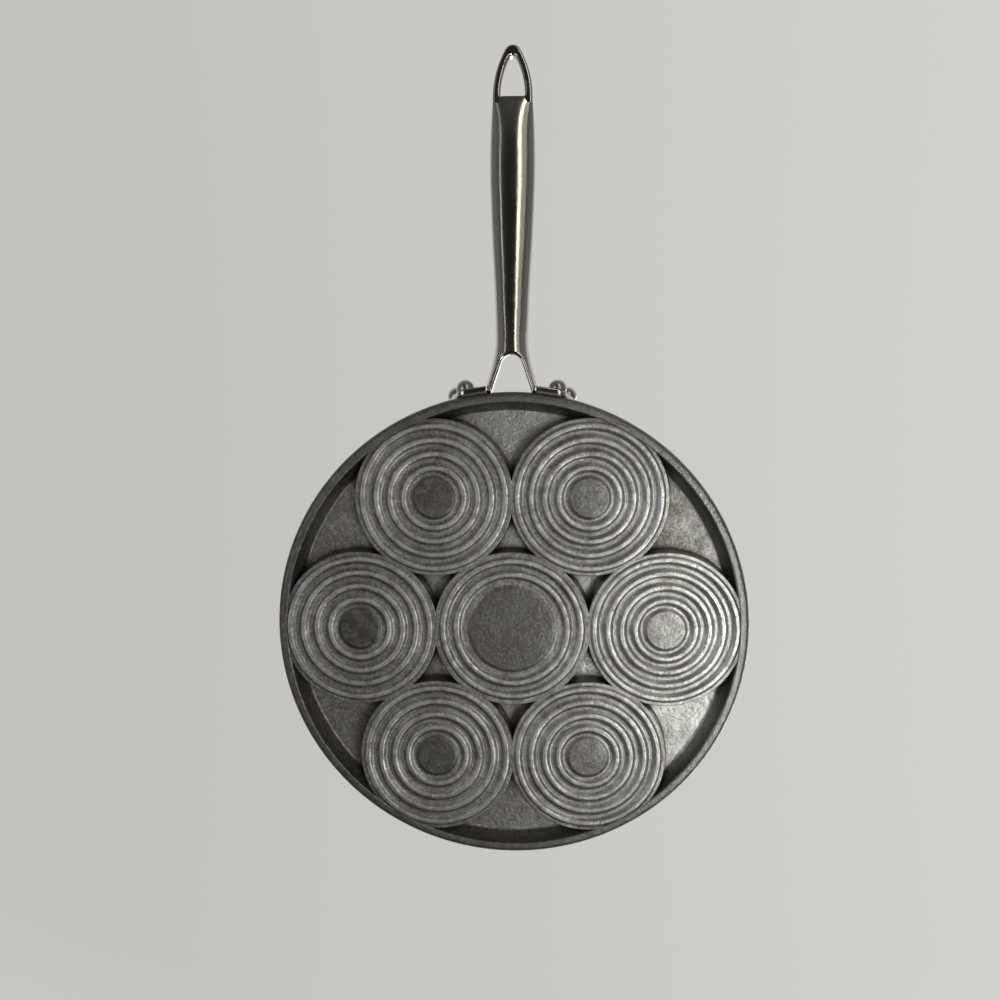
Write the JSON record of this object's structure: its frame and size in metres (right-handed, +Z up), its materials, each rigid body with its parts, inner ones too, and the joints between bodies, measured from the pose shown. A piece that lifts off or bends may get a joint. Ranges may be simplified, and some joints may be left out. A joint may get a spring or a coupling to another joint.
{
  "type": "stovetop waffle pan",
  "caption": "Round cast pan with shallow round wells of square waffle studs, ringed well bottoms, and a long riveted steel handle with a hanging loop.",
  "frame": {"origin": "centre of the pan in the plane of the ring crowns that it stands on", "axes": "+Z up, out of the cooking side; +Y along the handle, away from the pan; +X to the right with the handle pointing away"},
  "size_m": [0.267, 0.4649, 0.0601],
  "materials": {
    "cast_aluminium": "dull, as cast",
    "polished_stainless": "polished",
    "rivet_metal": "satin"
  },
  "bodies": {
    "root": {"pan_casting": "cast_aluminium", "handle": "polished_stainless", "handle_rivets": "rivet_metal"}
  },
  "joints": []
}
